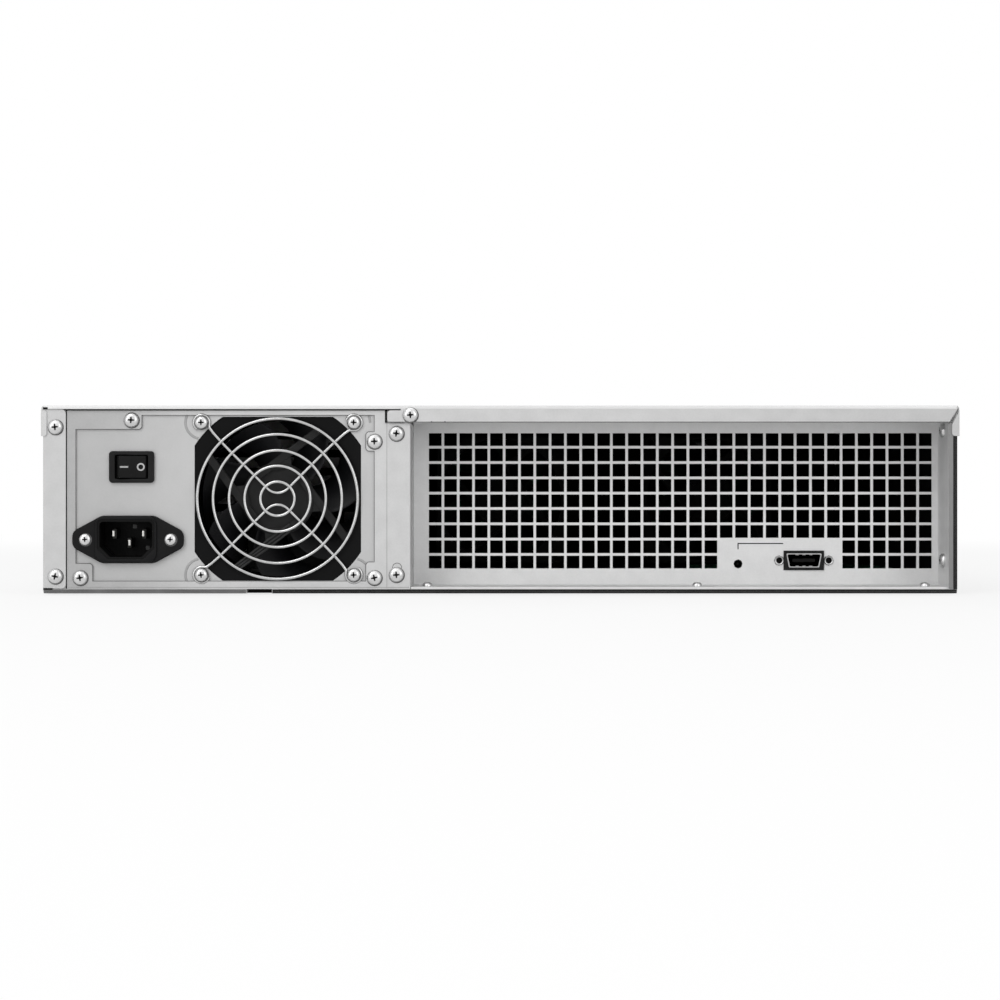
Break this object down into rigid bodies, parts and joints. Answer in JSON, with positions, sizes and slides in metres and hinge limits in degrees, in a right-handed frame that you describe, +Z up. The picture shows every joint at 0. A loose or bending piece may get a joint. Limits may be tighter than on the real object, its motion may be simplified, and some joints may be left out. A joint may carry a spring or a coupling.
{
  "type": "disk shelf enclosure",
  "caption": "Two-unit rack shelf for disks: trays with levers at the front, fans inside, and a power supply, a square-hole grille and a cabled port at the rear.",
  "frame": {"origin": "middle of the underside of the chassis", "axes": "+Z up, -Y towards the disk trays at the front, +Y towards the rear panel, +X to the right seen from the front"},
  "size_m": [0.4826, 0.6983, 0.088],
  "materials": {
    "galvanised_sheet": "galvanised steel sheet, faint mottle",
    "cover_sheet": "galvanised steel sheet",
    "supply_sheet": "plated steel, satin",
    "fan_plastic": "moulded, satin",
    "supply_parts": "board and parts",
    "bright_wire": "bright plated wire",
    "inlet_plastic": "moulded, slight gloss",
    "contact_metal": "plated contacts",
    "switch_plastic": "moulded, satin",
    "rocker_plastic": "moulded, satin, two plain marks",
    "port_plastic": "moulded",
    "tongue_plastic": "moulded contact tongue",
    "light_lens": "clear lens",
    "board": "circuit board",
    "ear_paint": "powder coat",
    "handle_metal": "powder coat",
    "screw_metal": "zinc-plated",
    "tray_paint": "powder coat",
    "lever_plastic": "moulded, fine texture"
  },
  "bodies": {
    "chassis": {"supply_fan_frame": "fan_plastic", "system_fan_frames": "fan_plastic", "supply_internals": "supply_parts", "fan_guard": "bright_wire", "power_inlet": "inlet_plastic", "inlet_blades": "contact_metal", "switch_bezel": "switch_plastic", "expansion_socket": "port_plastic", "expansion_tongue": "tongue_plastic", "jack_posts": "contact_metal", "link_light": "light_lens", "expander_board": "board", "backplane": "board", "backplane_sockets": "port_plastic", "ear_left": "ear_paint", "ear_right": "ear_paint", "ear_handles": "handle_metal", "case_screws": "screw_metal", "guard_screws": "screw_metal", "inlet_screws": "screw_metal", "floor_screws": "screw_metal", "chassis_tub": "galvanised_sheet", "rear_frame_panel": "galvanised_sheet", "supply_divider": "galvanised_sheet", "grille_panel": "galvanised_sheet", "fan_wall": "galvanised_sheet", "cage_walls": "galvanised_sheet", "top_cover": "cover_sheet", "supply_case": "supply_sheet"},
    "power_switch": {"switch_rocker": "rocker_plastic"},
    "supply_fan": {"supply_fan_rotor": "fan_plastic"},
    "system_fan_1": {"system_fan_rotor_1": "fan_plastic"},
    "system_fan_2": {"system_fan_rotor_2": "fan_plastic"},
    "system_fan_3": {"system_fan_rotor_3": "fan_plastic"},
    "tray_01": {"tray_01": "tray_paint"},
    "lever_01": {"lever_01": "lever_plastic"},
    "tray_02": {"tray_02": "tray_paint"},
    "lever_02": {"lever_02": "lever_plastic"},
    "tray_03": {"tray_03": "tray_paint"},
    "lever_03": {"lever_03": "lever_plastic"},
    "tray_04": {"tray_04": "tray_paint"},
    "lever_04": {"lever_04": "lever_plastic"},
    "tray_05": {"tray_05": "tray_paint"},
    "lever_05": {"lever_05": "lever_plastic"},
    "tray_06": {"tray_06": "tray_paint"},
    "lever_06": {"lever_06": "lever_plastic"},
    "tray_07": {"tray_07": "tray_paint"},
    "lever_07": {"lever_07": "lever_plastic"},
    "tray_08": {"tray_08": "tray_paint"},
    "lever_08": {"lever_08": "lever_plastic"},
    "tray_09": {"tray_09": "tray_paint"},
    "lever_09": {"lever_09": "lever_plastic"},
    "tray_10": {"tray_10": "tray_paint"},
    "lever_10": {"lever_10": "lever_plastic"},
    "tray_11": {"tray_11": "tray_paint"},
    "lever_11": {"lever_11": "lever_plastic"},
    "tray_12": {"tray_12": "tray_paint"},
    "lever_12": {"lever_12": "lever_plastic"}
  },
  "joints": [
    {"name": "fan_supply_spin", "type": "hinge", "parent": "chassis", "child": "supply_fan", "pos_m": [0.10445, 0.315, 0.0444], "axis": [0, 1, 0], "continuous": true},
    {"name": "fan_system_1_spin", "type": "hinge", "parent": "chassis", "child": "system_fan_1", "pos_m": [-0.13, -0.1, 0.044], "axis": [0, 1, 0], "continuous": true},
    {"name": "fan_system_2_spin", "type": "hinge", "parent": "chassis", "child": "system_fan_2", "pos_m": [0, -0.1, 0.044], "axis": [0, 1, 0], "continuous": true},
    {"name": "fan_system_3_spin", "type": "hinge", "parent": "chassis", "child": "system_fan_3", "pos_m": [0.13, -0.1, 0.044], "axis": [0, 1, 0], "continuous": true},
    {"name": "power_switch_rock", "type": "hinge", "parent": "chassis", "child": "power_switch", "pos_m": [0.17295, 0.327, 0.0593], "axis": [0, 0, -1], "range_deg": [0, 18]},
    {"name": "tray_01_slide", "type": "slide", "parent": "chassis", "child": "tray_01", "axis": [0, -1, 0], "range_m": [0, 0.16]},
    {"name": "tray_01_lever", "type": "hinge", "parent": "tray_01", "child": "lever_01", "pos_m": [-0.2055, -0.3468, 0.072], "axis": [0, 0, -1], "range_deg": [0, 60]},
    {"name": "tray_02_slide", "type": "slide", "parent": "chassis", "child": "tray_02", "axis": [0, -1, 0], "range_m": [0, 0.16]},
    {"name": "tray_02_lever", "type": "hinge", "parent": "tray_02", "child": "lever_02", "pos_m": [-0.0995, -0.3468, 0.072], "axis": [0, 0, -1], "range_deg": [0, 60]},
    {"name": "tray_03_slide", "type": "slide", "parent": "chassis", "child": "tray_03", "axis": [0, -1, 0], "range_m": [0, 0.16]},
    {"name": "tray_03_lever", "type": "hinge", "parent": "tray_03", "child": "lever_03", "pos_m": [0.0065, -0.3468, 0.072], "axis": [0, 0, -1], "range_deg": [0, 60]},
    {"name": "tray_04_slide", "type": "slide", "parent": "chassis", "child": "tray_04", "axis": [0, -1, 0], "range_m": [0, 0.16]},
    {"name": "tray_04_lever", "type": "hinge", "parent": "tray_04", "child": "lever_04", "pos_m": [0.1125, -0.3468, 0.072], "axis": [0, 0, -1], "range_deg": [0, 60]},
    {"name": "tray_05_slide", "type": "slide", "parent": "chassis", "child": "tray_05", "axis": [0, -1, 0], "range_m": [0, 0.16]},
    {"name": "tray_05_lever", "type": "hinge", "parent": "tray_05", "child": "lever_05", "pos_m": [-0.2055, -0.3468, 0.044], "axis": [0, 0, -1], "range_deg": [0, 60]},
    {"name": "tray_06_slide", "type": "slide", "parent": "chassis", "child": "tray_06", "axis": [0, -1, 0], "range_m": [0, 0.16]},
    {"name": "tray_06_lever", "type": "hinge", "parent": "tray_06", "child": "lever_06", "pos_m": [-0.0995, -0.3468, 0.044], "axis": [0, 0, -1], "range_deg": [0, 60]},
    {"name": "tray_07_slide", "type": "slide", "parent": "chassis", "child": "tray_07", "axis": [0, -1, 0], "range_m": [0, 0.16]},
    {"name": "tray_07_lever", "type": "hinge", "parent": "tray_07", "child": "lever_07", "pos_m": [0.0065, -0.3468, 0.044], "axis": [0, 0, -1], "range_deg": [0, 60]},
    {"name": "tray_08_slide", "type": "slide", "parent": "chassis", "child": "tray_08", "axis": [0, -1, 0], "range_m": [0, 0.16]},
    {"name": "tray_08_lever", "type": "hinge", "parent": "tray_08", "child": "lever_08", "pos_m": [0.1125, -0.3468, 0.044], "axis": [0, 0, -1], "range_deg": [0, 60]},
    {"name": "tray_09_slide", "type": "slide", "parent": "chassis", "child": "tray_09", "axis": [0, -1, 0], "range_m": [0, 0.16]},
    {"name": "tray_09_lever", "type": "hinge", "parent": "tray_09", "child": "lever_09", "pos_m": [-0.2055, -0.3468, 0.016], "axis": [0, 0, -1], "range_deg": [0, 60]},
    {"name": "tray_10_slide", "type": "slide", "parent": "chassis", "child": "tray_10", "axis": [0, -1, 0], "range_m": [0, 0.16]},
    {"name": "tray_10_lever", "type": "hinge", "parent": "tray_10", "child": "lever_10", "pos_m": [-0.0995, -0.3468, 0.016], "axis": [0, 0, -1], "range_deg": [0, 60]},
    {"name": "tray_11_slide", "type": "slide", "parent": "chassis", "child": "tray_11", "axis": [0, -1, 0], "range_m": [0, 0.16]},
    {"name": "tray_11_lever", "type": "hinge", "parent": "tray_11", "child": "lever_11", "pos_m": [0.0065, -0.3468, 0.016], "axis": [0, 0, -1], "range_deg": [0, 60]},
    {"name": "tray_12_slide", "type": "slide", "parent": "chassis", "child": "tray_12", "axis": [0, -1, 0], "range_m": [0, 0.16]},
    {"name": "tray_12_lever", "type": "hinge", "parent": "tray_12", "child": "lever_12", "pos_m": [0.1125, -0.3468, 0.016], "axis": [0, 0, -1], "range_deg": [0, 60]}
  ]
}
